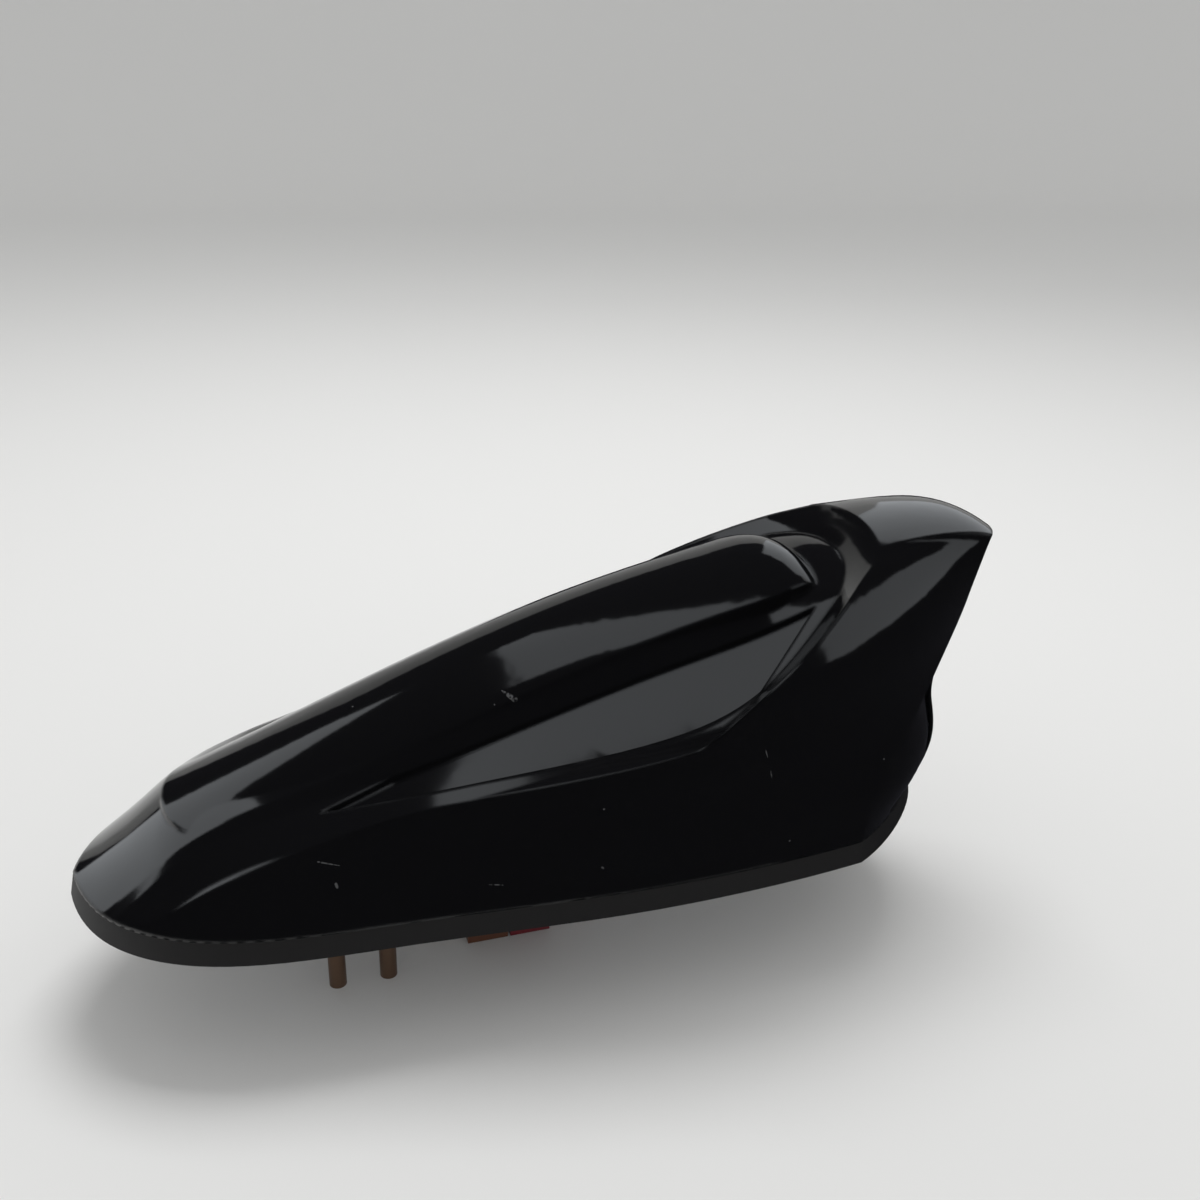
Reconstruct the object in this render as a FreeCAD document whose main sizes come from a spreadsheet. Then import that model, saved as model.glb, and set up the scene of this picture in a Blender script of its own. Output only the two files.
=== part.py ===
import FreeCAD, Part
import Sketcher
import os
import re

# A shark fin roof antenna: gloss cover, rubber seal, die-cast base plate and the aerials inside.
# Millimetres. The nose points to -X and +Z is up. z = 0 is the car's roof.
# The fixing thread's axis is at x = y = 0.

V = FreeCAD.Vector
doc = FreeCAD.newDocument("SharkFinAntenna")
sheet = doc.addObject("Spreadsheet::Sheet", "Sizes")

# Driving dimensions. A setback is measured from the seal's nose, a place from the fixing axis.
SIZES = {
    # Foot
    "fixing_setback": 66,
    "foot_length": 178,
    "foot_width": 72.4,
    "nose_half_width": 24.4,
    "nose_depth": 14.5,
    "widest_setback": 104,
    "stern_setback": 150,
    "stern_half_width": 33.4,
    "seal_height": 4.2,
    "seal_flare": 0.9,
    "seal_lip": 6.5,
    # Cover walls and fin
    "cover_wall": 2.2,
    "cover_height": 63,
    "wall_draft": 1,
    "side_taper": 0.4,
    "nose_lean": 0.016,
    "stern_fullness": 0.62,
    "stern_bulge": 2.5,
    "stern_swell": 0.07,
    "waist_height": 31,
    "waist_setback": 178,
    "waist_corner_setback": 168.5,
    "waist_corner_half_width": 21.5,
    "ridge_foot_setback": 113,
    "ridge_turn_setback": 125,
    "ridge_turn_height": 41.5,
    "fin_corner_setback": 178,
    "fin_corner_half_width": 15,
    "fin_tail_setback": 182,
    "fin_bulge": 3,
    "fin_cup": 17,
    "fin_spread": 2,
    "roof_front_setback": 158,
    "roof_half_width": 14,
    "roof_edge_height": 60.6,
    "roof_rear_setback": 185,
    "roof_reach": 65,
    "roof_round": 6,
    "roof_sink": 5,
    "fin_tip_setback": 190,
    # Nose, pockets and spine
    "hood_height": 17,
    "hood_valley_height": 13.5,
    "hood_shoulder_height": 12.2,
    "hood_edge_height": 8,
    "hood_edge_fall": 9,
    "hood_edge_inset": 0.5,
    "hood_curl": 1.2,
    "pocket_depth": 1.3,
    "pocket_tip_setback": 46,
    "pocket_tip_half_width": 19.5,
    "pocket_taper": 3.6,
    "pocket_round": 6,
    "pocket_tip_upper": 22.4,
    "pocket_tip_lower": 19.4,
    "pocket_tip_spread": 2.5,
    "pocket_mid_setback": 72,
    "pocket_mid_upper": 29.4,
    "pocket_mid_lower": 25.6,
    "pocket_rear_setback": 143,
    "pocket_rear_upper": 50.6,
    "pocket_rear_lower": 42.5,
    "valley_width": 2,
    "valley_rise": 4.5,
    "ledge_width": 5,
    "ledge_fall": 0.8,
    "ledge_rear_height": 32.6,
    "spine_setback": 18,
    "spine_nose_length": 10,
    "spine_step": 1.6,
    "spine_half_width": 15.5,
    "spine_front_flank": 4.4,
    "spine_flank": 7.3,
    "spine_rear_flank": 5,
    "spine_front_setback": 52,
    "spine_front_height": 33.2,
    "spine_mid_setback": 94,
    "spine_mid_height": 48.6,
    "spine_peak_setback": 138,
    "spine_peak_height": 58.4,
    "spine_end_setback": 150.5,
    "spine_round": 7,
    "spine_end_drop": 10.5,
    "screw_boss_radius": 3.6,
    # Base plate
    "plate_clearance": 0.2,
    "flange_height": 3,
    "plate_drop": 3.2,
    "spigot_front": 9,
    "spigot_rear": 29,
    "spigot_half_width": 8,
    "spigot_depth": 6,
    "spigot_round": 3,
    "pin_place": 9,
    "pin_pitch": 10,
    "pin_spread": 13,
    "pin_radius": 1.7,
    "pin_depth": 22,
    "pin_grip": 4,
    "pin_shank_radius": 1.2,
    "hole_seal_width": 1.8,
    "thread_radius": 3,
    "insert_radius": 4.6,
    "insert_collar": 6,
    "insert_collar_height": 1.2,
    # Circuit board and what it carries
    "standoff_height": 3,
    "standoff_radius": 3,
    "board_thickness": 1.6,
    "board_front": 30,
    "board_rear": 104,
    "board_half_width": 19,
    "board_tail_half_width": 9.5,
    "board_taper_start": 68,
    "board_taper_end": 82,
    "patch_length": 25,
    "patch_height": 4,
    "patch_place": 14,
    "electrode_length": 19,
    "electrode_height": 0.3,
    "feed_pin_radius": 0.6,
    "feed_pin_offset": 3,
    "feed_pin_stub": 0.5,
    "can_length": 30,
    "can_width": 26,
    "can_height": 5,
    "can_sheet": 0.4,
    "can_place": 44,
    "blade_sheet": 0.6,
    "blade_foot": 6,
    "front_blade_place": 8,
    "front_blade_length": 14,
    "front_blade_height": 20,
    "rear_blade_place": 68,
    "rear_blade_length": 14,
    "rear_blade_height": 30,
    "coil_place": 97,
    "former_radius": 4,
    "former_bore": 2.6,
    "former_height": 38,
    "coil_wire": 0.5,
    "coil_gap": 0.1,
    "coil_pitch": 3.6,
    "coil_turns": 7,
    "coil_start": 5,
    "hat_length": 24,
    "hat_half_width": 5.5,
    "hat_drop": 7,
    "hat_sheet": 0.5,
    "foam_length": 7,
    "foam_half_width": 3.5,
    "foam_gap": 0.8,
    # Coax sockets
    "socket_place": 13,
    "socket_pitch": 9.2,
    "socket_length": 8.6,
    "socket_half_width": 6,
    "socket_depth": 24,
    "socket_bore": 3.3,
    "socket_bore_depth": 14,
    "shell_radius": 2.6,
    "shell_wall": 0.4,
    "shell_length": 9,
    "contact_radius": 0.6,
    "contact_length": 7.5,
    # Screws
    "screw_clearance": 0.15,
    "board_screw_radius": 1.2,
    "board_screw_head": 2.3,
    "board_screw_head_height": 1.5,
    "board_screw_grip": 2.6,
    "front_board_screw": 24,
    "rear_board_screw": 62,
    "board_screw_spread": 16,
    "cover_screw_radius": 1.3,
    "cover_screw_head": 2.6,
    "cover_screw_head_height": 1.6,
    "cover_screw_sink": 2,
    "cover_screw_length": 12,
    "pilot_spare": 1,
    "front_screw_setback": 24,
    "side_screw_setback": 88,
    "side_screw_inset": 10.2,
    "rear_screw_setback": 144,
    "rear_screw_inset": 8.9,
}
for row, (alias, value) in enumerate(SIZES.items(), start=1):
    sheet.set(f"A{row}", alias)
    sheet.set(f"B{row}", str(value))
    sheet.setAlias(f"B{row}", alias)
doc.recompute()


def size(alias):
    return float(sheet.get(alias))


def along(setback):
    return setback - size("fixing_setback")


def spline(points):
    curve = Part.BSplineCurve()
    curve.interpolate(Points=points)
    return curve.toShape()


def mirrored(points):
    return [V(p.x, -p.y, p.z) for p in points]


def between(low, high, share):
    return low + (high - low) * share


# Shares that shape each outline: points round the nose as (along, across), then the side and the stern
NOSE_CURVE = ((0.13, 0.31), (0.47, 0.7), (1, 1))
SIDE_RUN = 0.55
SIDE_FULLNESS = 0.92
STERN_RUN = 0.6


# One level of the hull: a closed outline, from the nose along the side and round the stern
def hull_level(z, nose, half, ridge, corner, tail, swell=0):
    lean = size("nose_lean") * max(z - size("seal_height"), 0)
    nose_half = size("nose_half_width") * (1 - lean) * half / (size("foot_width") / 2)
    widest = size("widest_setback")
    side = [V(along(nose), 0, z)]
    for run, width in NOSE_CURVE:
        side.append(V(along(nose + size("nose_depth") * run), -nose_half * width, z))
    side.append(V(along(widest * SIDE_RUN), -half * SIDE_FULLNESS * (1 - SIDE_RUN * lean), z))
    side.append(V(along(widest), -half, z))
    side.append(V(along(ridge[0]), -ridge[1], z))
    side.append(V(along(corner[0]), -corner[1], z))
    bow_x = along(between(corner[0], tail, STERN_RUN))
    bow = V(bow_x, -corner[1] * (size("stern_fullness") + swell), z)
    stern = [side[-1], bow, V(along(tail), 0, z), *mirrored([bow, side[-1]])]
    return Part.Wire([spline(side), spline(stern), spline(mirrored(side)[::-1])])


def foot_level(z, inset):
    half = size("foot_width") / 2 - inset
    corner = (size("stern_setback"), size("stern_half_width") - inset)
    ridge = (size("ridge_turn_setback"), half - size("side_taper"))
    return hull_level(z, inset, half, ridge, corner, size("foot_length") - inset)


# A value at a height, on a curve through stations that never swings past them
def follow(stations, z):
    slopes = [(b[1] - a[1]) / (b[0] - a[0]) for a, b in zip(stations, stations[1:])]
    turns = [2 * a * b / (a + b) if a * b > 0 else 0 for a, b in zip(slopes, slopes[1:])]
    tangents = [slopes[0], *turns, slopes[-1]]
    k = max(i for i in range(len(slopes)) if i == 0 or stations[i][0] <= z)
    (low, start), (high, end) = stations[k:k + 2]
    t = (z - low) / (high - low)
    ease = t * t * (3 - 2 * t)
    lift = (tangents[k] * t * (1 - t) ** 2 - tangents[k + 1] * t * t * (1 - t)) * (high - low)
    return between(start, end, ease) + lift


# The hull's walls, pulled in by inset: the foot, the stern, its waist, and the fin up to its roof
def hull_walls(inset):
    rim = size("seal_flare") + inset
    half = size("foot_width") / 2 - rim
    turn_x = size("ridge_turn_setback")
    draft = size("wall_draft")
    foot = size("seal_height")
    waist = size("waist_height")
    turn = size("ridge_turn_height")
    roof = size("roof_edge_height")
    roof_half = size("roof_half_width") - inset
    turn_half = half - draft
    stern_half = size("stern_half_width") - rim
    tail = size("foot_length") - rim
    bulge = size("stern_bulge")
    waist_corner = (size("waist_corner_setback") - inset, size("waist_corner_half_width") - inset)
    fin_corner = (size("fin_corner_setback") - inset, size("fin_corner_half_width") - inset)
    roof_corner = (size("roof_rear_setback") - inset, roof_half - draft)
    keys = []
    corners = [
        (size("stern_setback"), stern_half, tail, 0),
        (size("stern_setback") + bulge, stern_half, tail + bulge, size("stern_swell")),
        (*waist_corner, size("waist_setback") - inset, 0),
        (*fin_corner, size("fin_tail_setback") - inset, 0),
    ]
    for z, corner in zip((foot, waist / 2, waist, turn), corners):
        share = (z - foot) / (turn - foot)
        side = half - draft * share
        keys.append((z, rim, side, turn_x, side - size("side_taper") * (1 - share), *corner))
    for share in (0.5, 0.9, 1):
        bow = 4 * size("fin_bulge") * share * (1 - share)
        ridge_half = between(turn_half, roof_half, share) + bow
        ridge_x = between(turn_x, size("roof_front_setback"), share)
        corner = [between(low, high, share) for low, high in zip(fin_corner, roof_corner)]
        end = between(size("fin_tail_setback"), size("fin_tip_setback"), share) - inset
        side = ridge_half + size("fin_spread") * share
        keys.append((between(turn, roof, share), rim, side, ridge_x, ridge_half, *corner, end, 0))
    keys.append((between(roof, size("cover_height"), 2), *keys[-1][1:]))
    heights = [key[0] for key in keys]
    columns = [list(zip(heights, column)) for column in list(zip(*keys))[1:]]
    halfway = [between(low, high, 0.5) for low, high in zip(heights, heights[1:])]
    levels = []
    for z in sorted(heights + halfway):
        nose, side, ridge_x, ridge_y, corner_x, corner_y, end, swell = [follow(c, z) for c in columns]
        levels.append(hull_level(z, nose, side, (ridge_x, ridge_y), (corner_x, corner_y), end, swell))
    return Part.makeLoft(levels, True, False)


# A section across the hood and pockets: ledge, pocket floor, the spine's sloped foot and the crown
def floor_section(x, heights, drop):
    edge, lower_y, lower, upper, valley, crown = heights
    wide = size("foot_width")
    valley_y = size("spine_half_width") - size("hood_edge_inset")
    upper_y = size("spine_half_width") + size("valley_width")
    x = along(x)
    far = [
        V(x, wide, edge - drop), V(x, lower_y, lower - drop),
        V(x, upper_y, upper - drop), V(x, valley_y, valley - drop),
    ]
    near = mirrored(far)
    top = Part.Arc(far[3], V(x, 0, crown - drop), near[3]).toShape()
    ground = [V(x, -wide, -wide), V(x, wide, -wide)]
    rim = [near[3], near[2], near[1], near[0], *ground, far[0], far[1], far[2], far[3]]
    return Part.Wire([top, *[Part.makeLine(a, b) for a, b in zip(rim, rim[1:])]])


def hood_and_floors(drop):
    ledge_y = size("foot_width") / 2 - size("seal_flare") - size("ledge_width")
    hood_y = size("nose_half_width") - size("hood_edge_inset")
    hood_rise = size("hood_height") - size("seal_height")
    hood_x = size("spine_setback")
    mid_x = size("pocket_mid_setback")
    rear_x = size("pocket_rear_setback")
    foot_x = size("ridge_foot_setback")
    tip_x = size("pocket_tip_setback")
    beyond_x = rear_x + size("foot_length") / 8
    end_x = size("fin_tip_setback") + size("foot_length") / 8
    foot_share = (foot_x - mid_x) / (rear_x - mid_x)
    foot_upper = between(size("pocket_mid_upper"), size("pocket_rear_upper"), foot_share)
    hood = [
        size("hood_edge_height") - size("hood_edge_fall"), hood_y, size("hood_edge_height"),
        size("hood_shoulder_height"), size("hood_valley_height"), size("hood_height"),
    ]
    stations = []
    for share in (-0.5, -0.25, 0, 0.17, 0.33, 0.5, 0.75, 1):
        sink = hood_rise * (1 - (share ** size("hood_curl") if share > 0 else share))
        stations.append((hood_x * share, [value if value == hood_y else value - sink for value in hood]))

    def floor(x, lower_y, lower, upper, fall, rise):
        stations.append((x, [lower - fall, lower_y, lower, upper, upper + rise, upper + rise + 1]))

    fall = size("ledge_fall")
    rise = size("valley_rise")
    tip_y = hood_y + size("pocket_tip_spread")
    floor(tip_x, tip_y, size("pocket_tip_lower"), size("pocket_tip_upper"), fall * 2, rise * 0.6)
    floor(mid_x, ledge_y - 1, size("pocket_mid_lower"), size("pocket_mid_upper"), fall, rise)
    floor(foot_x, ledge_y, size("ledge_rear_height"), foot_upper, fall, rise)
    floor(rear_x, ledge_y, size("pocket_rear_lower"), size("pocket_rear_upper"), fall, rise * 0.3)
    for x in (beyond_x, end_x):
        floor(x, ledge_y, size("pocket_rear_lower"), size("pocket_rear_upper") - rise, fall, rise * 0.1)
    return Part.makeLoft([floor_section(x, heights, drop) for x, heights in stations], True, False)


# A section of the spine: a rounded back on two upright flanks
def spine_section(x, crest, half, flank):
    x = along(x)
    shoulder = V(x, half, crest - flank)
    root = V(x, half, crest - flank - size("foot_width") / 6)
    points = [root, shoulder, *mirrored([shoulder, root])]
    back = Part.Arc(shoulder, V(x, 0, crest), points[2]).toShape()
    left = Part.makeLine(points[0], points[1])
    right = Part.makeLine(points[2], points[3])
    return Part.Wire([left, back, right, Part.makeLine(points[3], points[0])])


def spine(inset):
    half = size("spine_half_width") - inset
    start = size("hood_height") + size("spine_step") - inset
    front = size("spine_setback") + inset
    rise = size("spine_front_height") - start - inset
    slope = rise / (size("spine_front_setback") - size("spine_setback"))
    end = size("spine_end_setback") - inset
    peak = size("spine_peak_height") - inset
    flank = size("spine_flank")
    rear_flank = size("spine_rear_flank")
    ahead = size("spine_nose_length")
    bend = size("spine_round")
    drop = size("spine_end_drop")
    front_flank = size("spine_front_flank")
    peak_x = size("spine_peak_setback")
    sections = [
        spine_section(front - ahead, start - ahead * slope, half, front_flank),
        spine_section(front, start, half, front_flank),
        spine_section(size("spine_front_setback"), size("spine_front_height") - inset, half, flank),
        spine_section(size("spine_mid_setback"), size("spine_mid_height") - inset, half, flank),
        spine_section(peak_x - bend, peak - drop * 0.08, half, rear_flank + drop * 0.08),
        spine_section(peak_x, peak, half - bend * 0.07, rear_flank),
        spine_section(end - bend, peak - drop * 0.12, half - bend * 0.3, rear_flank * 0.72),
        spine_section(end - bend * 0.3, peak - drop * 0.48, half - bend * 0.5, rear_flank * 0.56),
        spine_section(end + bend * 0.3, peak - drop, half - bend * 0.8, rear_flank * 0.4),
    ]
    body = Part.makeLoft(sections, True, False)
    centre = V(along(front + size("spine_nose_length")), 0, -size("foot_width"))
    tip = V(along(front), 0, centre.z)
    left = V(centre.x, half, centre.z)
    right = V(centre.x, -half, centre.z)
    wide = half > size("spine_nose_length")
    ellipse = Part.Ellipse(left, tip, centre) if wide else Part.Ellipse(tip, left, centre)
    round_nose = Part.Face(Part.Wire(ellipse.toShape())).extrude(V(0, 0, 3 * size("foot_width")))
    length = size("foot_length")
    straight = Part.makeBox(length, 2 * half, 3 * size("foot_width"), V(centre.x, -half, centre.z))
    return body.common(round_nose.fuse(straight))


# The fin's front face, cupped between its two ridges, with everything behind it
def fin_block(drop):
    half = size("foot_width") / 2 - size("seal_flare") - size("wall_draft")
    turn_x = size("ridge_turn_setback")
    turn_z = size("ridge_turn_height")
    foot_x = size("ridge_foot_setback")
    foot_z = size("ledge_rear_height")
    low = 2
    heights = [foot_z - low, foot_z, between(foot_z, turn_z, 0.5), turn_z]
    bend_x = between(foot_x, turn_x, 0.56)
    ridges = [(foot_x - 3 * low, half), (foot_x, half), (bend_x, half), (turn_x, half)]
    cups = [size("fin_cup")] * 4
    for share in (0.25, 0.5, 0.75, 1, 1.25):
        heights.append(between(turn_z, size("roof_edge_height"), share))
        bulge = 4 * size("fin_bulge") * share * (1 - share)
        ridge_x = between(turn_x, size("roof_front_setback"), min(share, 1.04))
        ridges.append((ridge_x, between(half, size("roof_half_width"), share) + bulge))
        cups.append(size("fin_cup") * max(1 - share, 0))
    reach = size("foot_width") * 0.6
    steps = [reach * k / 4 for k in range(-4, 5)]
    grid = []
    for z, (ridge_x, ridge_half), cup in zip(heights, ridges, cups):
        grid.append([V(along(ridge_x + cup * (1 - (y / ridge_half) ** 2)), y, z - drop) for y in steps])
    surface = Part.BSplineSurface()
    surface.interpolate(grid)
    return surface.toShape().extrude(V(size("foot_length"), 0, 0))


# The fin's roof: shallow arches that sink towards the tip
def roof_section(x, top):
    wide = size("foot_width")
    sag = (size("cover_height") - size("roof_edge_height")) * (wide / 2 / size("roof_half_width")) ** 2
    x = along(x)
    corner = V(x, wide / 2, top - sag)
    low = V(x, wide / 2, -wide)
    far = mirrored([corner, low])
    arch = Part.Arc(corner, V(x, 0, top), far[0]).toShape()
    return Part.Wire([
        arch, Part.makeLine(far[0], far[1]), Part.makeLine(far[1], low), Part.makeLine(low, corner)
    ])


def fin_roof(drop):
    top = size("cover_height") - drop
    tip = size("fin_tip_setback")
    rear = size("roof_rear_setback")
    bend = size("roof_round")
    sink = size("roof_sink")
    front = size("roof_front_setback")
    sections = [
        roof_section(front - size("roof_reach"), top - sink * 0.2),
        roof_section(front - size("roof_reach") * 0.3, top - sink * 0.17),
        roof_section(front, top - sink * 0.13),
        roof_section(rear - bend, top - sink * 0.04),
        roof_section(rear + bend * 0.17, top - sink * 0.32),
        roof_section(tip + bend * 0.17, top - sink),
        roof_section(tip + bend * 0.67, top - 2 * sink),
    ]
    return Part.makeLoft(sections, True, False)


# The pocket's outline in plan: along the ledge, up inside the ridge, and back along the spine
def pocket(inset):
    half = size("foot_width") / 2 - size("seal_flare") - size("wall_draft")
    ledge = size("ledge_width") - inset
    run = size("roof_front_setback") - size("ridge_turn_setback")
    rise = half - size("roof_half_width")
    slant = (run ** 2 + rise ** 2) ** 0.5
    start = V(along(size("ridge_turn_setback") - ledge * rise / slant), -half + ledge * run / slant, 0)
    inner = inset - size("spine_half_width") - size("valley_width")
    corner = start + V(run, rise, 0) * (size("pocket_round") / slant)
    rear = V(start.x + (inner - start.y) * run / rise, inner, 0)
    low = V(along(size("ridge_foot_setback")) - size("pocket_round"), -half + ledge, 0)
    turn = V(between(low.x, corner.x, 0.6), between(low.y, corner.y, 0.3), 0)
    front = V(along(size("pocket_mid_setback")), low.y + size("pocket_taper"), 0)
    tip = V(along(size("pocket_tip_setback")) - inset, -size("pocket_tip_half_width"), 0)
    shoulder = V(between(tip.x, front.x, 0.5), inner, 0)
    edges = [
        spline([tip, front, low, turn, corner]), Part.makeLine(corner, rear),
        Part.makeLine(rear, shoulder), Part.makeLine(shoulder, tip),
    ]
    near = Part.Face(Part.Wire(edges)).extrude(V(0, 0, 2 * size("cover_height")))
    return near.fuse(near.mirror(V(0, 0, 0), V(0, 1, 0)))


# The whole sculpted form, pulled in by inset
def sculpted_form(inset):
    fin = fin_block(inset * 1.3).common(fin_roof(inset))
    recess = pocket(inset).cut(hood_and_floors(size("pocket_depth") + inset * 1.2))
    top = hood_and_floors(inset * 1.2).fuse(fin).cut(recess).fuse(spine(inset))
    return hull_walls(inset).common(top)


# Heights that several pieces share
PLATE_LOW = "(seal_height - plate_drop)"
FLANGE_TOP = "(seal_height + flange_height)"
BOARD_LOW = f"({FLANGE_TOP} + standoff_height)"
BOARD_TOP = f"({BOARD_LOW} + board_thickness)"
HAT_LOW = f"({BOARD_TOP} + former_height)"
plate_low = size("seal_height") - size("plate_drop")
flange_top = size("seal_height") + size("flange_height")
board_low = flange_top + size("standoff_height")
board_top = board_low + size("board_thickness")

side_y = size("foot_width") / 2 - size("side_screw_inset")
rear_y = size("stern_half_width") - size("rear_screw_inset")
COVER_SCREWS = [
    (along(size("front_screw_setback")), 0),
    (along(size("side_screw_setback")), -side_y),
    (along(size("side_screw_setback")), side_y),
    (along(size("rear_screw_setback")), -rear_y),
    (along(size("rear_screw_setback")), rear_y),
]
BOARD_SCREWS = [
    (x, y)
    for x in (-size("front_board_screw"), size("rear_board_screw"))
    for y in (-size("board_screw_spread"), size("board_screw_spread"))
]
PINS = [
    (x, y)
    for x in (-size("pin_place"), -size("pin_place") - size("pin_pitch"))
    for y in (-size("pin_spread"), size("pin_spread"))
]
SOCKETS = [size("socket_place"), size("socket_place") + size("socket_pitch")]
pieces = []


def rod(radius, low, high, x=0, y=0):
    return Part.makeCylinder(radius, high - low, V(x, y, low))


def feature(label, shape):
    obj = doc.addObject("Part::Feature", label)
    obj.Label = label
    obj.Shape = shape
    obj.Placement = shape.Placement
    pieces.append(obj)
    return obj


# Words that are aliases become references to the sheet
def bound(expression):
    def reference(match):
        word = match.group()
        return "Sizes." + word if word in SIZES else word

    return re.sub(r"[a-z_]+", reference, expression)


def bind(obj, **expressions):
    for name, expression in expressions.items():
        obj.setExpression(name.replace("__", "."), bound(expression))
    return obj


def box(name, length, width, height, x, y, z):
    obj = doc.addObject("Part::Box", name)
    return bind(
        obj, Length=length, Width=width, Height=height,
        Placement__Base__x=x, Placement__Base__y=y, Placement__Base__z=z,
    )


def cylinder(name, radius, height, x, y, z):
    obj = doc.addObject("Part::Cylinder", name)
    return bind(
        obj, Radius=radius, Height=height,
        Placement__Base__x=x, Placement__Base__y=y, Placement__Base__z=z,
    )


def cut(name, base, tool):
    obj = doc.addObject("Part::Cut", name)
    obj.Base = base
    obj.Tool = tool
    return obj


def piece(obj, label):
    obj.Label = label
    pieces.append(obj)
    return obj


# A body padded from a sketch whose corners are all dimensioned by the sheet
def padded(label, plane, corners, depth, offset):
    body = doc.addObject("PartDesign::Body", label)
    sketch = body.newObject("Sketcher::SketchObject", label + "_sketch")
    origin = next(f for f in body.Origin.OriginFeatures if f.Role == plane)
    sketch.AttachmentSupport = [(origin, "")]
    sketch.MapMode = "FlatFace"
    count = len(corners)
    spread = [V(k % 7 + 1, k * 2 + 1, 0) for k in range(count)]
    for k in range(count):
        sketch.addGeometry(Part.LineSegment(spread[k], spread[(k + 1) % count]), False)
    for k in range(count):
        sketch.addConstraint(Sketcher.Constraint("Coincident", k, 2, (k + 1) % count, 1))
    for k, (across, up) in enumerate(corners):
        for kind, expression in (("DistanceX", across), ("DistanceY", up)):
            number = sketch.addConstraint(Sketcher.Constraint(kind, -1, 1, k, 1, 1.0))
            sketch.setExpression(f"Constraints[{number}]", bound(expression))
    pad = body.newObject("PartDesign::Pad", label + "_pad")
    pad.Profile = sketch
    bind(pad, Length=depth)
    bind(body, **offset)
    return piece(body, label)


# Outer cover: the sculpted form, hollowed, with bosses for the screws
def outer_cover():
    outer = sculpted_form(0)
    inner = sculpted_form(size("cover_wall"))
    shell = outer.cut(inner)
    top = size("cover_height")
    pilot = plate_low + size("cover_screw_sink") + size("cover_screw_length") + size("pilot_spare")
    bosses = [rod(size("screw_boss_radius"), flange_top, top, x, y).common(outer) for x, y in COVER_SCREWS]
    pilots = [rod(size("cover_screw_radius"), 0, pilot, x, y) for x, y in COVER_SCREWS]
    feature("outer_cover", shell.fuse(bosses).cut(Part.makeCompound(pilots)).removeSplitter())


# Base seal: the flared rubber skirt, with a lip under the plate's flange
def base_seal():
    ends = [foot_level(0, 0), foot_level(size("seal_height"), size("seal_flare"))]
    skirt = Part.makeLoft(ends, True, True)
    window = Part.Face(foot_level(-1, size("seal_lip"))).extrude(V(0, 0, size("seal_height") + 2))
    feature("base_seal", skirt.cut(window))


# Base plate: flange inside the cover, step inside the seal, and standoffs
def base_plate():
    reach = size("foot_length") * 2
    slab = Part.makeBox(reach, reach, size("flange_height"), V(-reach / 2, -reach / 2, size("seal_height")))
    flange = sculpted_form(size("cover_wall") + size("plate_clearance")).common(slab)
    step_outline = foot_level(plate_low, size("seal_lip") + size("plate_clearance"))
    step = Part.Face(step_outline).extrude(V(0, 0, size("plate_drop")))
    posts = [rod(size("standoff_radius"), flange_top, board_low, x, y) for x, y in BOARD_SCREWS]
    solid = flange.fuse([step, *posts])
    gap = size("screw_clearance")
    seat = plate_low + size("cover_screw_sink")
    tools = [rod(size("insert_radius"), plate_low, flange_top), socket_window(plate_low, flange_top)]
    for x, y in COVER_SCREWS:
        tools.append(rod(size("cover_screw_radius") + gap, plate_low, flange_top, x, y))
        tools.append(rod(size("cover_screw_head") + gap, plate_low, seat, x, y))
    for x, y in BOARD_SCREWS:
        tools.append(rod(size("board_screw_radius"), board_low - size("board_screw_grip"), board_low, x, y))
    for x, y in PINS:
        tools.append(rod(size("pin_shank_radius"), plate_low, plate_low + size("pin_grip"), x, y))
    feature("base_plate", solid.cut(Part.makeCompound(tools)).removeSplitter())


# The opening that the coax sockets pass through
def socket_window(low, high):
    gap = size("screw_clearance")
    length = size("socket_pitch") + size("socket_length") + 2 * gap
    width = 2 * (size("socket_half_width") + gap)
    front = size("socket_place") - size("socket_length") / 2 - gap
    return Part.makeBox(length, width, high - low, V(front, -width / 2, low))


# Centring collar: the block that fills the hole in the roof
def centring_collar():
    half = size("spigot_half_width")
    length = size("spigot_front") + size("spigot_rear")
    low = -size("spigot_depth")
    block = Part.makeBox(length, 2 * half, plate_low - low, V(-size("spigot_front"), -half, low))
    upright = [e for e in block.Edges if abs(e.tangentAt(e.FirstParameter).z) > 0.9]
    block = block.makeFillet(size("spigot_round"), upright)
    tools = [rod(size("insert_radius"), low, plate_low), socket_window(low, plate_low)]
    feature("centring_collar", block.cut(Part.makeCompound(tools)))


# Locating pins: each has a thinner shank pressed into the plate and a shoulder against it
def locating_pins():
    pins = []
    for x, y in PINS:
        post = rod(size("pin_radius"), -size("pin_depth"), plate_low, x, y)
        shank = rod(size("pin_shank_radius"), plate_low, plate_low + size("pin_grip"), x, y)
        pins.append(post.fuse(shank).removeSplitter())
    feature("locating_pins", Part.makeCompound(pins))


def hole_seal():
    rim = "(spigot_half_width + plate_clearance)"
    ends = "(spigot_front + plate_clearance)"
    run = "(spigot_front + spigot_rear + 2 * plate_clearance)"
    wide = "hole_seal_width"
    outer = box(
        "hole_seal_outer", f"{run} + 2 * {wide}", f"2 * {rim} + 2 * {wide}", PLATE_LOW,
        f"-{ends} - {wide}", f"-{rim} - {wide}", "0",
    )
    inner = box("hole_seal_inner", run, f"2 * {rim}", PLATE_LOW, f"-{ends}", f"-{rim}", "0")
    piece(cut("hole_seal_ring", outer, inner), "hole_seal")


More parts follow.
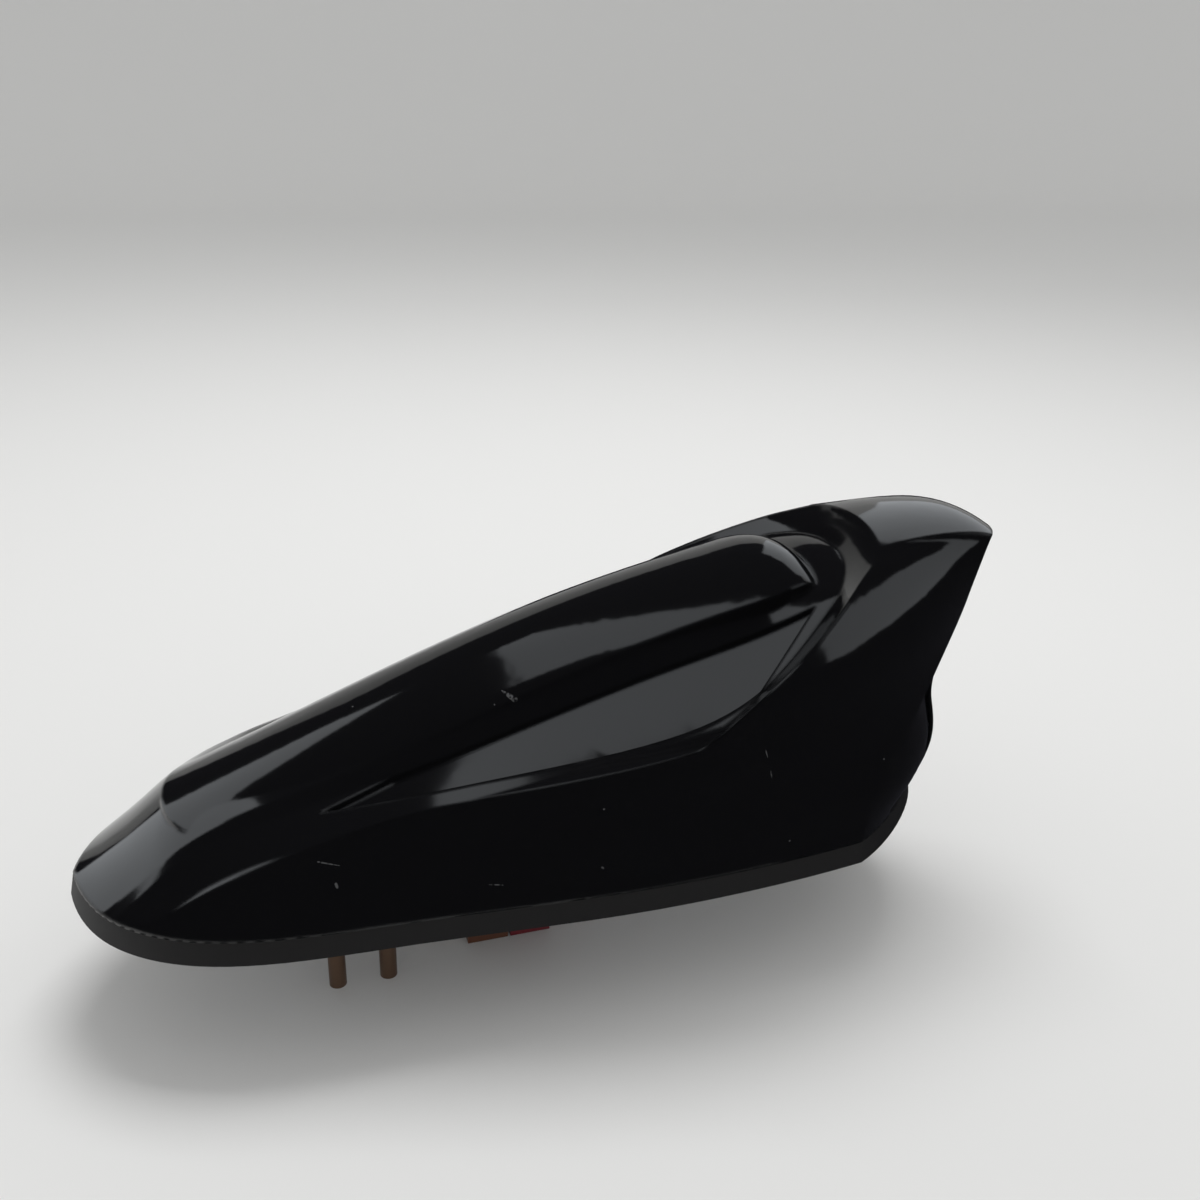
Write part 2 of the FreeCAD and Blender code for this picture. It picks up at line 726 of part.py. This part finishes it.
def fixing_insert():
    low = "-spigot_depth"
    sleeve = cylinder("insert_sleeve", "insert_radius", f"{FLANGE_TOP} + spigot_depth", "0", "0", low)
    collar = cylinder("insert_collar", "insert_collar", "insert_collar_height", "0", "0", FLANGE_TOP)
    body = doc.addObject("Part::Fuse", "insert_body")
    body.Base = sleeve
    body.Tool = collar
    length = f"{FLANGE_TOP} + spigot_depth + insert_collar_height"
    bore = cylinder("insert_bore", "thread_radius", length, "0", "0", low)
    piece(cut("insert", body, bore), "fixing_insert")


def main_board():
    corners = [
        ("-board_front", "-board_half_width"),
        ("board_taper_start", "-board_half_width"),
        ("board_taper_end", "-board_tail_half_width"),
        ("board_rear", "-board_tail_half_width"),
        ("board_rear", "board_tail_half_width"),
        ("board_taper_end", "board_tail_half_width"),
        ("board_taper_start", "board_half_width"),
        ("-board_front", "board_half_width"),
    ]
    board = padded("board_blank", "XY_Plane", corners, "board_thickness", {"Placement__Base__z": BOARD_LOW})
    pieces.remove(board)
    holes = doc.addObject("Part::Feature", "board_holes")
    gap = size("screw_clearance")
    radius = size("board_screw_radius") + gap
    drills = [rod(radius, board_low, board_top, x, y) for x, y in BOARD_SCREWS]
    feed_x = size("feed_pin_offset") - size("patch_place")
    drills.append(rod(size("feed_pin_radius"), board_low, board_top, feed_x))
    holes.Shape = Part.makeCompound(drills)
    piece(cut("board", board, holes), "main_board")


def gnss_patch():
    x = "(-patch_place)"
    pin_x = f"({x} + feed_pin_offset)"
    top = f"({BOARD_TOP} + patch_height)"
    blank = box(
        "patch_blank", "patch_length", "patch_length", "patch_height",
        f"{x} - patch_length / 2", "-patch_length / 2", BOARD_TOP,
    )
    hole = cylinder("patch_hole", "feed_pin_radius", "patch_height", pin_x, "0", BOARD_TOP)
    piece(cut("patch", blank, hole), "gnss_patch")
    sheet_blank = box(
        "electrode_blank", "electrode_length", "electrode_length", "electrode_height",
        f"{x} - electrode_length / 2", "-electrode_length / 2", top,
    )
    sheet_hole = cylinder("electrode_hole", "feed_pin_radius", "electrode_height", pin_x, "0", top)
    piece(cut("electrode", sheet_blank, sheet_hole), "patch_electrode")
    length = "board_thickness + patch_height + electrode_height + feed_pin_stub"
    piece(cylinder("feed_pin", "feed_pin_radius", length, pin_x, "0", BOARD_LOW), "patch_feed_pin")


def shield_can():
    x = "can_place - can_length / 2"
    outer = box("can_outer", "can_length", "can_width", "can_height", x, "-can_width / 2", BOARD_TOP)
    inner = box(
        "can_inner", "can_length - 2 * can_sheet", "can_width - 2 * can_sheet", "can_height - can_sheet",
        f"{x} + can_sheet", "-can_width / 2 + can_sheet", BOARD_TOP,
    )
    piece(cut("can", outer, inner), "shield_can")


# A pressed blade: a foot on the board and an upright sheet
def blade(label, place, length, height):
    corners = [
        ("0", "0"), ("blade_foot", "0"), ("blade_foot", "blade_sheet"), ("blade_sheet", "blade_sheet"),
        ("blade_sheet", height), ("0", height),
    ]
    offset = {"Placement__Base__x": place, "Placement__Base__z": BOARD_TOP}
    return padded(label, "YZ_Plane", corners, length, offset)


def loading_coil():
    outer = cylinder("former_outer", "former_radius", "former_height", "coil_place", "0", BOARD_TOP)
    bore = cylinder("former_inner", "former_bore", "former_height", "coil_place", "0", BOARD_TOP)
    piece(cut("former", outer, bore), "coil_former")
    radius = size("former_radius") + size("coil_wire") + size("coil_gap")
    pitch = size("coil_pitch")
    half = size("coil_wire")
    corners = [V(radius + x * half, 0, z * half) for x, z in ((-1, -1), (1, -1), (1, 1), (-1, 1), (-1, -1))]
    path = Part.Wire(Part.makeHelix(pitch, pitch / 2, radius).Edges)
    bend = path.makePipeShell([Part.makePolygon(corners)], True, True)
    bends = []
    for k in range(2 * int(size("coil_turns"))):
        bends.append(bend.copy())
        bends[-1].rotate(V(0, 0, 0), V(0, 0, 1), 180 * k)
        bends[-1].translate(V(0, 0, k * pitch / 2))
    coil = bends[0].fuse(bends[1:])
    coil.translate(V(size("coil_place"), 0, board_top + size("coil_start")))
    feature("fm_coil", coil)


def top_load():
    x = "(coil_place - hat_length / 2)"
    low = f"({HAT_LOW} - hat_drop)"
    outer = box(
        "hat_outer", "hat_length", "2 * hat_half_width", "hat_drop + hat_sheet", x, "-hat_half_width", low,
    )
    inner = box(
        "hat_inner", "hat_length", "2 * hat_half_width - 2 * hat_sheet", "hat_drop",
        x, "-hat_half_width + hat_sheet", low,
    )
    piece(cut("hat", outer, inner), "top_load")
    top = f"({HAT_LOW} + hat_sheet)"
    foam = box(
        "foam", "foam_length", "2 * foam_half_width", f"cover_height - cover_wall - foam_gap - {top}",
        "coil_place - foam_length / 2", "-foam_half_width", top,
    )
    piece(foam, "roof_foam")


def coax_sockets():
    places = {"coax_housing_front": "socket_place", "coax_housing_rear": "(socket_place + socket_pitch)"}
    for label, x in places.items():
        block = box(
            label + "_block", "socket_length", "2 * socket_half_width", f"{BOARD_LOW} + socket_depth",
            f"{x} - socket_length / 2", "-socket_half_width", "-socket_depth",
        )
        bore = cylinder(label + "_bore", "socket_bore", "socket_bore_depth", x, "0", "-socket_depth")
        piece(cut(label + "_cut", block, bore), label)
    ceiling = size("socket_bore_depth") - size("socket_depth")
    outer = size("shell_radius")
    inner = outer - size("shell_wall")
    low = ceiling - size("shell_length")
    shells = [rod(outer, low, ceiling, x).cut(rod(inner, low, ceiling, x)) for x in SOCKETS]
    feature("coax_shells", Part.makeCompound(shells))
    contacts = [rod(size("contact_radius"), ceiling - size("contact_length"), ceiling, x) for x in SOCKETS]
    feature("coax_contacts", Part.makeCompound(contacts))


def screws():
    board = []
    for x, y in BOARD_SCREWS:
        shank = rod(size("board_screw_radius"), board_low - size("board_screw_grip"), board_top, x, y)
        head = rod(size("board_screw_head"), board_top, board_top + size("board_screw_head_height"), x, y)
        board.append(shank.fuse(head).removeSplitter())
    feature("board_screws", Part.makeCompound(board))
    cover = []
    seat = plate_low + size("cover_screw_sink")
    for x, y in COVER_SCREWS:
        shank = rod(size("cover_screw_radius"), seat, seat + size("cover_screw_length"), x, y)
        head = rod(size("cover_screw_head"), seat - size("cover_screw_head_height"), seat, x, y)
        cover.append(shank.fuse(head).removeSplitter())
    feature("cover_screws", Part.makeCompound(cover))


outer_cover()
base_seal()
base_plate()
centring_collar()
locating_pins()
hole_seal()
fixing_insert()
main_board()
gnss_patch()
shield_can()
blade("lte_blade_front", "front_blade_place", "front_blade_length", "front_blade_height")
blade("lte_blade_rear", "rear_blade_place", "rear_blade_length", "rear_blade_height")
loading_coil()
top_load()
coax_sockets()
screws()
doc.recompute()

for obj in doc.Objects:
    if "Invalid" in obj.State or "Error" in obj.State:
        raise RuntimeError(f"{obj.Label} failed: {obj.State}")
os.makedirs("parts", exist_ok=True)
for obj in pieces:
    if obj.Shape.isNull() or not obj.Shape.isValid():
        raise RuntimeError(f"{obj.Label} has no valid shape")
    obj.Shape.exportStep(f"parts/{obj.Label}.step")
    print(obj.Label, len(obj.Shape.Solids), round(obj.Shape.Volume))
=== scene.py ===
import math
import bmesh
import bpy
from mathutils import Matrix, Vector
from mathutils.bvhtree import BVHTree


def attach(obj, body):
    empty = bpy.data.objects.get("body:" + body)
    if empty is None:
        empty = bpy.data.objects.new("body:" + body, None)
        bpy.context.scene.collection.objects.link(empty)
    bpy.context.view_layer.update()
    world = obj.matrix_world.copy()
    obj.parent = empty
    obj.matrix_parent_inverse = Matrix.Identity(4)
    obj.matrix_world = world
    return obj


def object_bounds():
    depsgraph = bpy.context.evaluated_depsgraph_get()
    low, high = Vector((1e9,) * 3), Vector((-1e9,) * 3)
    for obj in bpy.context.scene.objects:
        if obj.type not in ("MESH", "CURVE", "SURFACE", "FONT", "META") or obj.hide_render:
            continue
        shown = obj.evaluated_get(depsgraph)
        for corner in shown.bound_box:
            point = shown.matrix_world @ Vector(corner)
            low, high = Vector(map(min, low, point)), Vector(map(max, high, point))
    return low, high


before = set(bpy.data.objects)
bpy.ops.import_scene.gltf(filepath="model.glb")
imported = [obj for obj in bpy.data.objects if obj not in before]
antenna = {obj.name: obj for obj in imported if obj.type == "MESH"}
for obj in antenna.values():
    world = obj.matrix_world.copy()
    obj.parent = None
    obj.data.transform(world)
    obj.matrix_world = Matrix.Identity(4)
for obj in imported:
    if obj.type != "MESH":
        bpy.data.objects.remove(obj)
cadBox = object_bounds()
scene = bpy.context.scene
print("frame loaded,", len(antenna), "nodes")


# small helpers for objects and node materials
def newObject(name, data):
    item = bpy.data.objects.new(name, data)
    scene.collection.objects.link(item)
    return item


def newPiece(name, shape, material):
    mesh = bpy.data.meshes.new(name)
    shape.to_mesh(mesh)
    shape.free()
    mesh.materials.append(material)
    return newObject(name, mesh)


def smoothFaces(shape):
    for face in shape.faces:
        face.smooth = True


def newFinish(name, colour, roughness, metallic=0.0):
    material = bpy.data.materials.new(name)
    material.use_nodes = True
    shader = material.node_tree.nodes["Principled BSDF"]
    shader.inputs["Base Color"].default_value = (*colour, 1)
    shader.inputs["Roughness"].default_value = roughness
    shader.inputs["Metallic"].default_value = metallic
    return material, material.node_tree, shader


def addNode(tree, kind, **settings):
    node = tree.nodes.new(kind)
    for key, value in settings.items():
        setattr(node, key, value)
    return node


noiseSetup = {"detail": 4.0, "roughness": 0.5}


def objectNoise(tree, scale):
    coords = addNode(tree, "ShaderNodeTexCoord")
    noise = addNode(tree, "ShaderNodeTexNoise")
    noise.inputs["Scale"].default_value = scale
    noise.inputs["Detail"].default_value = noiseSetup["detail"]
    noise.inputs["Roughness"].default_value = noiseSetup["roughness"]
    tree.links.new(coords.outputs["Object"], noise.inputs["Vector"])
    return noise.outputs["Fac"]


def addGrain(tree, shader, finish):
    bump = addNode(tree, "ShaderNodeBump")
    bump.inputs["Strength"].default_value = finish["strength"]
    bump.inputs["Distance"].default_value = finish["depth"]
    tree.links.new(objectNoise(tree, finish["grain"]), bump.inputs["Height"])
    tree.links.new(bump.outputs["Normal"], shader.inputs["Normal"])


def mathNode(tree, operation, first, second):
    node = addNode(tree, "ShaderNodeMath", operation=operation)
    for socket, value in zip(node.inputs, (first, second)):
        if isinstance(value, float):
            socket.default_value = value
        else:
            tree.links.new(value, socket)
    return node.outputs["Value"]


def vectorNode(tree, operation, first, second):
    node = addNode(tree, "ShaderNodeVectorMath", operation=operation)
    for socket, value in zip(node.inputs, (first, second)):
        if isinstance(value, Vector):
            socket.default_value = value
        else:
            tree.links.new(value, socket)
    return node


def dress(name, material):
    mesh = antenna[name].data
    mesh.materials.clear()
    mesh.materials.append(material)


# gloss black cover, with its worn spots
coverFinish = {
    "colour": (0.004, 0.004, 0.0045), "roughness": 0.07, "ior": 1.5,
    "edgeRound": 0.0011, "edgeSamples": 6,
    "wornColour": (0.075, 0.077, 0.08), "wornRoughness": 0.55, "breaks": 2600, "breakLevel": 0.46,
    "dustScale": 420, "dustSize": 0.075, "dustRare": 0.982,
}
# each mark's two ends and its half width
wornMarks = {
    "spineScratch": ((0.0103, -0.0076, 0.0410), (0.0129, -0.0150, 0.0364), 0.00016),
    "spineScuff": ((0.0144, -0.0131, 0.0384), (0.0167, -0.0155, 0.0372), 0.0005),
    "spineScuffSide": ((0.0150, -0.0125, 0.0387), (0.0160, -0.0150, 0.0375), 0.0003),
    "noseScratch": ((-0.0219, -0.0270, 0.0164), (-0.0175, -0.0282, 0.0153), 0.00012),
    "noseChip": ((-0.0193, -0.0289, 0.0126), (-0.0191, -0.0292, 0.0120), 0.00025),
    "noseSpeck": ((-0.0191, -0.0313, 0.0069), (-0.0190, -0.0315, 0.0065), 0.0002),
    "sideScratch": ((0.0075, -0.0325, 0.0095), (0.0098, -0.0328, 0.0091), 0.00012),
    "sideSpeck": ((0.0282, -0.0345, 0.0105), (0.0284, -0.0345, 0.0103), 0.0002),
    "finScratch": ((0.0593, -0.0346, 0.0315), (0.0623, -0.0345, 0.0212), 0.0001),
}


# one where the surface lies within a mark's half width of its line
def markMask(tree, place, start, end, halfWidth):
    span = end - start
    offset = vectorNode(tree, "SUBTRACT", place, start).outputs["Vector"]
    share = vectorNode(tree, "DOT_PRODUCT", offset, span / span.length_squared).outputs["Value"]
    clamped = addNode(tree, "ShaderNodeClamp")
    tree.links.new(share, clamped.inputs["Value"])
    along = addNode(tree, "ShaderNodeVectorMath", operation="SCALE")
    along.inputs[0].default_value = span
    tree.links.new(clamped.outputs["Result"], along.inputs["Scale"])
    away = vectorNode(tree, "DISTANCE", offset, along.outputs["Vector"]).outputs["Value"]
    return mathNode(tree, "LESS_THAN", away, halfWidth)


glossBlack, tree, shader = newFinish("glossBlack", coverFinish["colour"], coverFinish["roughness"])
shader.inputs["IOR"].default_value = coverFinish["ior"]
place = addNode(tree, "ShaderNodeTexCoord").outputs["Object"]
worn = None
for start, end, halfWidth in wornMarks.values():
    mask = markMask(tree, place, Vector(start), Vector(end), halfWidth)
    worn = mask if worn is None else mathNode(tree, "MAXIMUM", worn, mask)
breaks = mathNode(tree, "GREATER_THAN", objectNoise(tree, coverFinish["breaks"]), coverFinish["breakLevel"])
worn = mathNode(tree, "MULTIPLY", worn, breaks)

# dust: a few small cells of a cell pattern
cells = addNode(tree, "ShaderNodeTexVoronoi")
cells.inputs["Scale"].default_value = coverFinish["dustScale"]
tree.links.new(place, cells.inputs["Vector"])
small = mathNode(tree, "LESS_THAN", cells.outputs["Distance"], coverFinish["dustSize"])
picked = addNode(tree, "ShaderNodeSeparateColor")
tree.links.new(cells.outputs["Color"], picked.inputs["Color"])
rare = mathNode(tree, "GREATER_THAN", picked.outputs["Red"], coverFinish["dustRare"])
dust = mathNode(tree, "MULTIPLY", small, rare)
worn = mathNode(tree, "MAXIMUM", worn, dust)

# worn spots are greyer and duller, and the edges are rounded in the shading
tint = addNode(tree, "ShaderNodeMix", data_type="RGBA")
tint.inputs["A"].default_value = (*coverFinish["colour"], 1)
tint.inputs["B"].default_value = (*coverFinish["wornColour"], 1)
tree.links.new(worn, tint.inputs["Factor"])
tree.links.new(tint.outputs["Result"], shader.inputs["Base Color"])
dull = addNode(tree, "ShaderNodeMapRange")
dull.inputs["To Min"].default_value = coverFinish["roughness"]
dull.inputs["To Max"].default_value = coverFinish["wornRoughness"]
tree.links.new(worn, dull.inputs["Value"])
tree.links.new(dull.outputs["Result"], shader.inputs["Roughness"])
rounded = addNode(tree, "ShaderNodeBevel", samples=coverFinish["edgeSamples"])
rounded.inputs["Radius"].default_value = coverFinish["edgeRound"]
tree.links.new(rounded.outputs["Normal"], shader.inputs["Normal"])
dress("outer_cover", glossBlack)

# rubber skirt and ring
rubberFinish = {
    "colour": (0.016, 0.015, 0.0155), "roughness": 0.62, "grain": 900, "strength": 0.4, "depth": 0.00004,
}
rubber, tree, shader = newFinish("rubber", rubberFinish["colour"], rubberFinish["roughness"])
addGrain(tree, shader, rubberFinish)
for name in ("base_seal", "hole_seal"):
    dress(name, rubber)

# die-cast base
alloyFinish = {
    "colour": (0.55, 0.56, 0.58), "roughness": 0.45, "metallic": 1.0,
    "grain": 700, "strength": 0.5, "depth": 0.00004,
}
alloy, tree, shader = newFinish(
    "dieCastAlloy", alloyFinish["colour"], alloyFinish["roughness"], alloyFinish["metallic"],
)
addGrain(tree, shader, alloyFinish)
dress("base_plate", alloy)

# even finishes: colour, roughness, metallic share and the nodes that wear them
plainFinishes = {
    "platedSteel": ((0.6, 0.58, 0.53), 0.32, 1.0, ("fixing_insert",)),
    "collarPlastic": ((0.018, 0.018, 0.02), 0.5, 0.0, ("centring_collar",)),
    "pinMetal": ((0.2, 0.13, 0.09), 0.4, 1.0, ("locating_pins",)),
    "solderMask": ((0.015, 0.13, 0.05), 0.38, 0.0, ("main_board",)),
    "patchCeramic": ((0.66, 0.55, 0.42), 0.5, 0.0, ("gnss_patch",)),
    "tinnedSheet": ((0.72, 0.72, 0.7), 0.28, 1.0, (
        "patch_electrode", "patch_feed_pin", "shield_can", "lte_blade_front", "lte_blade_rear", "top_load",
    )),
    "ivoryPlastic": ((0.75, 0.72, 0.64), 0.45, 0.0, ("coil_former",)),
    "copperWire": ((0.8, 0.36, 0.18), 0.25, 1.0, ("fm_coil",)),
    "greyFoam": ((0.04, 0.04, 0.045), 0.95, 0.0, ("roof_foam",)),
    "brownPlastic": ((0.12, 0.045, 0.022), 0.42, 0.0, ("coax_housing_front",)),
    "winePlastic": ((0.16, 0.012, 0.02), 0.42, 0.0, ("coax_housing_rear",)),
    "goldFlash": ((0.83, 0.6, 0.24), 0.22, 1.0, ("coax_shells", "coax_contacts")),
    "zincPlate": ((0.5, 0.5, 0.52), 0.3, 1.0, ("board_screws", "cover_screws")),
}
for name, (colour, roughness, metallic, wearers) in plainFinishes.items():
    finish = newFinish(name, colour, roughness, metallic)[0]
    for node in wearers:
        dress(node, finish)
print("finishes on")

# stern panel: a bowed wall over the slot and the cut-back stretch in the cover's stern
sternPanel = {
    "halfWidth": 0.0155, "low": 0.0085, "high": 0.0313,
    "crownLow": 0.0062, "crownHigh": 0.0051, "power": 1.9, "columns": 40, "rows": 28, "lift": 0.00004,
    "sink": 0.00012, "thickness": 0.0008, "reach": 0.2,
}
coverMesh = antenna["outer_cover"].data
coverTree = BVHTree.FromPolygons(
    [vert.co for vert in coverMesh.vertices], [face.vertices for face in coverMesh.polygons],
)


# how far back the cover's stern reaches at one height, beside the panel
def sternEdge(height):
    start = Vector((sternPanel["reach"], -sternPanel["halfWidth"], height))
    return coverTree.ray_cast(start, Vector((-1, 0, 0)))[0].x


shape = bmesh.new()
bmesh.ops.create_grid(shape, x_segments=sternPanel["columns"], y_segments=sternPanel["rows"], size=1)
for vert in shape.verts:
    across = vert.co.x
    up = (vert.co.y + 1) / 2
    height = sternPanel["low"] + (sternPanel["high"] - sternPanel["low"]) * up
    crown = sternPanel["crownLow"] + (sternPanel["crownHigh"] - sternPanel["crownLow"]) * up
    back = sternEdge(height) + crown * (1 - abs(across) ** sternPanel["power"])
    back += -sternPanel["sink"] if vert.is_boundary else sternPanel["lift"]
    vert.co = (back, across * sternPanel["halfWidth"], height)
bmesh.ops.recalc_face_normals(shape, faces=shape.faces[:])
bmesh.ops.solidify(shape, geom=shape.faces[:], thickness=sternPanel["thickness"])
smoothFaces(shape)
panel = newPiece("sternPanel", shape, glossBlack)
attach(panel, "root")
print("stern panel on,", len(panel.data.polygons), "faces")

# studio: floor, pale surround, cards and lamp
studio = {
    "floorColour": (0.8, 0.8, 0.795), "floorRoughness": 0.9, "floorSpecular": 0.1, "floorGap": 0.0001,
    "surround": (0.62, 0.62, 0.615), "surroundStrength": 1.0,
    "darkCard": (0.02, 0.02, 0.024), "darkStrength": 1.0, "softCard": (0.92, 0.96, 1.0), "cardLift": 0.0005,
}
floorLevel = cadBox[0][2] - studio["floorGap"]


def flatCorners(xs, ys, z):
    return [(xs[0], ys[0], z), (xs[1], ys[0], z), (xs[1], ys[1], z), (xs[0], ys[1], z)]


def uprightCorners(start, end, zs):
    return [(*start, zs[0]), (*end, zs[0]), (*end, zs[1]), (*start, zs[1])]


# a glowing sheet that only reflections see
def newCard(name, corners, colour, strength):
    material = bpy.data.materials.new(name)
    material.use_nodes = True
    nodes = material.node_tree.nodes
    nodes.remove(nodes["Principled BSDF"])
    glow = addNode(material.node_tree, "ShaderNodeEmission")
    glow.inputs["Color"].default_value = (*colour, 1)
    glow.inputs["Strength"].default_value = strength
    material.node_tree.links.new(glow.outputs["Emission"], nodes["Material Output"].inputs["Surface"])
    shape = bmesh.new()
    shape.faces.new([shape.verts.new(corner) for corner in corners])
    card = newPiece(name, shape, material)
    card.visible_camera = False
    card.visible_diffuse = False
    card.visible_shadow = False
    card.visible_transmission = False


# floor and wall in one sweep
sweep = {
    "front": -9.0, "back": 2.6, "halfWidth": 12.0, "radius": 0.9, "height": 3.2,
    "turn": math.radians(90), "steps": 16,
}
paleFloor, tree, shader = newFinish("paleFloor", studio["floorColour"], studio["floorRoughness"])
shader.inputs["Specular IOR Level"].default_value = studio["floorSpecular"]
profile = bmesh.new()
bend = sweep["back"] - sweep["radius"]
left = -sweep["halfWidth"]
first = profile.verts.new((left, sweep["front"], floorLevel))
last = profile.verts.new((left, bend, floorLevel))
profile.edges.new((first, last))
bmesh.ops.spin(
    profile, geom=[last], cent=(left, bend, floorLevel + sweep["radius"]), axis=(1, 0, 0),
    angle=sweep["turn"], steps=sweep["steps"], use_merge=False,
)
rim = max(profile.verts, key=lambda vert: vert.co.z)
raised = bmesh.ops.extrude_vert_indiv(profile, verts=[rim])["verts"]
bmesh.ops.translate(profile, verts=raised, vec=(0, 0, sweep["height"]))
drawn = bmesh.ops.extrude_edge_only(profile, edges=profile.edges[:])["geom"]
moved = [item for item in drawn if isinstance(item, bmesh.types.BMVert)]
bmesh.ops.translate(profile, verts=moved, vec=(2 * sweep["halfWidth"], 0, 0))
smoothFaces(profile)
floor = newPiece("floor", profile, paleFloor)

# dark cards keep the gloss black, bright ones give it soft reflections
room = {
    "halfWidth": 2.6, "front": -1.6, "back": 1.7, "left": -1.62, "right": 1.7, "wall": 1.26, "top": 2.2,
    "pierEdge": -0.46, "tableEdge": -0.05,
}
tableTop = floorLevel + studio["cardLift"]
acrossRoom = (-room["halfWidth"], room["halfWidth"])
fullHeight = (floorLevel, room["top"])
darkCards = {
    "ceilingCard": flatCorners(acrossRoom, (room["front"], room["back"]), room["top"]),
    "pierCard": uprightCorners(
        (-0.93, room["wall"]), (room["pierEdge"], room["wall"]), (0.14, room["top"]),
    ),
    "wallCard": uprightCorners(
        (room["pierEdge"], room["wall"]), (0.84, room["wall"]), (0.75, room["top"]),
    ),
    "frontCard": uprightCorners(
        (acrossRoom[0], room["front"]), (acrossRoom[1], room["front"]), fullHeight,
    ),
    "leftCard": uprightCorners((room["left"], 0.7), (room["left"], room["front"]), fullHeight),
    "rightCard": uprightCorners((room["right"], room["front"]), (room["right"], 0.6), fullHeight),
    "tableCard": flatCorners(acrossRoom, (room["front"], room["tableEdge"]), tableTop),
    "sternCard": flatCorners((0.08, room["right"]), (room["tableEdge"], 0.9), tableTop),
}
pocketOutline = ((-0.25, 0.5), (-0.16, 0.5), (-0.03, 0.08), (0.25, -0.5), (-0.25, -0.5))
pocketHeight = 1.0
# corners and strength of each
brightCards = {
    "pocketCard": ([(x, y, pocketHeight) for x, y in pocketOutline], 1.2),
    "hoodCard": (uprightCorners((-0.89, 1.2), (-1.41, 0.51), (0.12, 1.95)), 1.5),
    "roofCard": (uprightCorners((0.8, 1.22), (1.4, 0.55), (0.25, 1.5)), 1.0),
    "finCard": (uprightCorners((1.16, -0.29), (0.92, -0.77), (0.22, 0.95)), 0.9),
}
for name, corners in darkCards.items():
    newCard(name, corners, studio["darkCard"], studio["darkStrength"])
for name, (corners, strength) in brightCards.items():
    newCard(name, corners, studio["softCard"], strength)

world = bpy.data.worlds.new("paleRoom")
scene.world = world
world.use_nodes = True
background = world.node_tree.nodes["Background"]
background.inputs["Color"].default_value = (*studio["surround"], 1)
background.inputs["Strength"].default_value = studio["surroundStrength"]

keyLamp = {"place": (0.15, 0.25, 0.85), "target": (0.03, 0, 0), "size": (0.5, 0.4), "power": 4.0}
lampData = bpy.data.lights.new("keyLamp", "AREA")
lampData.shape = "RECTANGLE"
lampData.size, lampData.size_y = keyLamp["size"]
lampData.energy = keyLamp["power"]
lamp = newObject("keyLamp", lampData)
aim = Vector(keyLamp["target"]) - Vector(keyLamp["place"])
lamp.location = keyLamp["place"]
lamp.rotation_euler = aim.to_track_quat("-Z", "Y").to_euler()
lamp.visible_glossy = False
print("studio set")

# camera at the photograph's viewing angle
cameraSetup = {
    "right": (0.950, -0.311, 0.023),
    "up": (0.099, 0.369, 0.924),
    "back": (-0.296, -0.876, 0.381),
    "place": (-0.0328, -0.2099, 0.1402),
    "lens": 36.06, "sensor": 36, "clipStart": 0.005,
}
cameraData = bpy.data.cameras.new("photoCamera")
cameraData.sensor_width = cameraSetup["sensor"]
cameraData.lens = cameraSetup["lens"]
cameraData.clip_start = cameraSetup["clipStart"]
camera = newObject("photoCamera", cameraData)
axes = Matrix((cameraSetup["right"], cameraSetup["up"], cameraSetup["back"])).transposed()
camera.matrix_world = Matrix.Translation(cameraSetup["place"]) @ axes.to_4x4()
scene.camera = camera

scene.view_settings.view_transform = "Standard"
print("scene ready")
